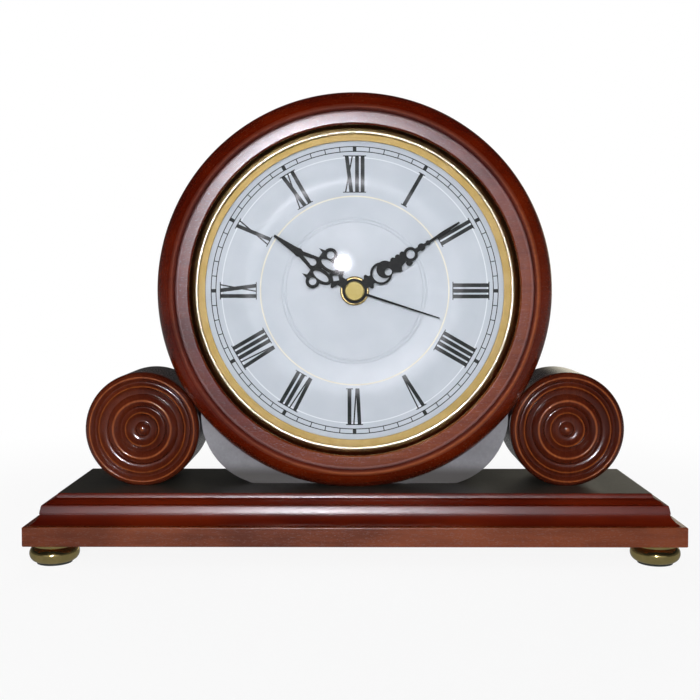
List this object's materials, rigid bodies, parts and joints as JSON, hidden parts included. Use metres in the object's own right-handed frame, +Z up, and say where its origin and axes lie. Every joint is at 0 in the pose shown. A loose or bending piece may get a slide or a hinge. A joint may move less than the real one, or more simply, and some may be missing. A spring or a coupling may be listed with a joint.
{
  "type": "mantel clock",
  "caption": "Quartz mantel clock: round wooden drum with a domed glass and Roman dial, turned scrolls at its sides, on a moulded plinth with brass bun feet.",
  "frame": {"origin": "middle of the footprint, on the table under the felt pads", "axes": "+X to the viewer's right along the plinth, +Y from the dial to the back, +Z up"},
  "size_m": [0.3, 0.09, 0.2187],
  "materials": {
    "mahogany": "stained red-brown, high-gloss lacquer",
    "polished_brass": "polished and lacquered",
    "satin_gold": "satin gilt",
    "steel": "plain",
    "glass": "clear, domed",
    "silvered_dial": "silver-white satin, printed",
    "fibreboard": "raw",
    "black_paint": "satin black",
    "felt": "felt",
    "black_plastic": "moulded, matt",
    "white_plastic": "moulded",
    "copper": "enamelled wire",
    "circuit_green": "solder resist",
    "battery_label": "plain printed sleeve"
  },
  "bodies": {
    "case": {"plinth_lower_board": "mahogany", "plinth_upper_board": "mahogany", "front_ring": "mahogany", "drum_body": "mahogany", "drum_cradle": "mahogany", "scroll_body_left": "mahogany", "scroll_body_right": "mahogany", "scroll_rosette_left": "mahogany", "scroll_rosette_right": "mahogany", "foot_front_left": "polished_brass", "foot_front_right": "polished_brass", "foot_rear_left": "polished_brass", "foot_rear_right": "polished_brass", "foot_pads": "felt", "case_screws": "steel", "plinth_screws": "steel", "foot_screws": "steel", "bezel": "polished_brass", "dome_glass": "glass", "gold_ring": "satin_gold", "dial": "silvered_dial", "dial_board": "fibreboard", "fixing_washer": "polished_brass", "fixing_nut": "polished_brass", "door_magnet": "steel", "hinge_leaf_drum": "polished_brass", "hinge_pin": "polished_brass", "hinge_screws_drum": "polished_brass", "movement_front_tray": "black_plastic", "movement_rear_tray": "black_plastic", "middle_plate": "white_plastic", "stator": "steel", "coil_core": "steel", "coil_bobbin": "white_plastic", "coil_winding": "copper", "circuit_board": "circuit_green", "quartz_crystal": "steel", "battery": "battery_label", "battery_contact_negative": "steel", "battery_contact_positive": "steel"},
    "minute_motion": {"minute_hand": "black_paint", "cannon_pinion": "white_plastic"},
    "motion_wheel_motion": {"motion_wheel": "white_plastic", "set_knob": "black_plastic"},
    "hour_motion": {"hour_hand": "black_paint", "hour_wheel": "white_plastic"},
    "second_motion": {"second_hand": "black_paint", "second_hand_boss": "polished_brass", "second_wheel": "white_plastic"},
    "third_motion": {"third_wheel": "white_plastic"},
    "centre_motion": {"centre_wheel": "white_plastic"},
    "intermediate_motion": {"intermediate_wheel": "white_plastic"},
    "rotor_motion": {"rotor": "steel"},
    "door": {"rear_door": "mahogany", "door_knob": "polished_brass", "door_strike": "steel", "hinge_leaf_door": "polished_brass", "hinge_screws_door": "polished_brass"}
  },
  "joints": [
    {"name": "minute_hand_turn", "type": "hinge", "parent": "case", "child": "minute_motion", "pos_m": [0, 0, 0.125], "axis": [0, 1, 0], "continuous": true},
    {"name": "motion_wheel_turn", "type": "hinge", "parent": "case", "child": "motion_wheel_motion", "pos_m": [-0.01188, 0, 0.12333], "axis": [0, 1, 0], "continuous": true},
    {"name": "hour_hand_turn", "type": "hinge", "parent": "case", "child": "hour_motion", "pos_m": [0, 0, 0.125], "axis": [0, 1, 0], "continuous": true},
    {"name": "second_hand_turn", "type": "hinge", "parent": "case", "child": "second_motion", "pos_m": [0, 0, 0.125], "axis": [0, 1, 0], "continuous": true},
    {"name": "third_wheel_turn", "type": "hinge", "parent": "case", "child": "third_motion", "pos_m": [-0.00213, 0, 0.13705], "axis": [0, 1, 0], "continuous": true},
    {"name": "centre_wheel_turn", "type": "hinge", "parent": "case", "child": "centre_motion", "pos_m": [0, 0, 0.125], "axis": [0, 1, 0], "continuous": true},
    {"name": "intermediate_wheel_turn", "type": "hinge", "parent": "case", "child": "intermediate_motion", "pos_m": [0.00831, 0, 0.1298], "axis": [0, 1, 0], "continuous": true},
    {"name": "rotor_turn", "type": "hinge", "parent": "case", "child": "rotor_motion", "pos_m": [0.01286, 0, 0.13768], "axis": [0, 1, 0], "continuous": true},
    {"name": "rear_door_hinge", "type": "hinge", "parent": "case", "child": "door", "pos_m": [-0.07225, 0.0318, 0.125], "axis": [0, 0, 1], "range_deg": [0, 115]}
  ],
  "couplings": [
    {"joint": "motion_wheel_turn", "follows": "minute_hand_turn", "ratio": -0.33333},
    {"joint": "hour_hand_turn", "follows": "minute_hand_turn", "ratio": 0.083333},
    {"joint": "third_wheel_turn", "follows": "second_hand_turn", "ratio": -0.13333},
    {"joint": "centre_wheel_turn", "follows": "second_hand_turn", "ratio": 0.016667},
    {"joint": "intermediate_wheel_turn", "follows": "second_hand_turn", "ratio": -5},
    {"joint": "rotor_turn", "follows": "second_hand_turn", "ratio": 30}
  ]
}
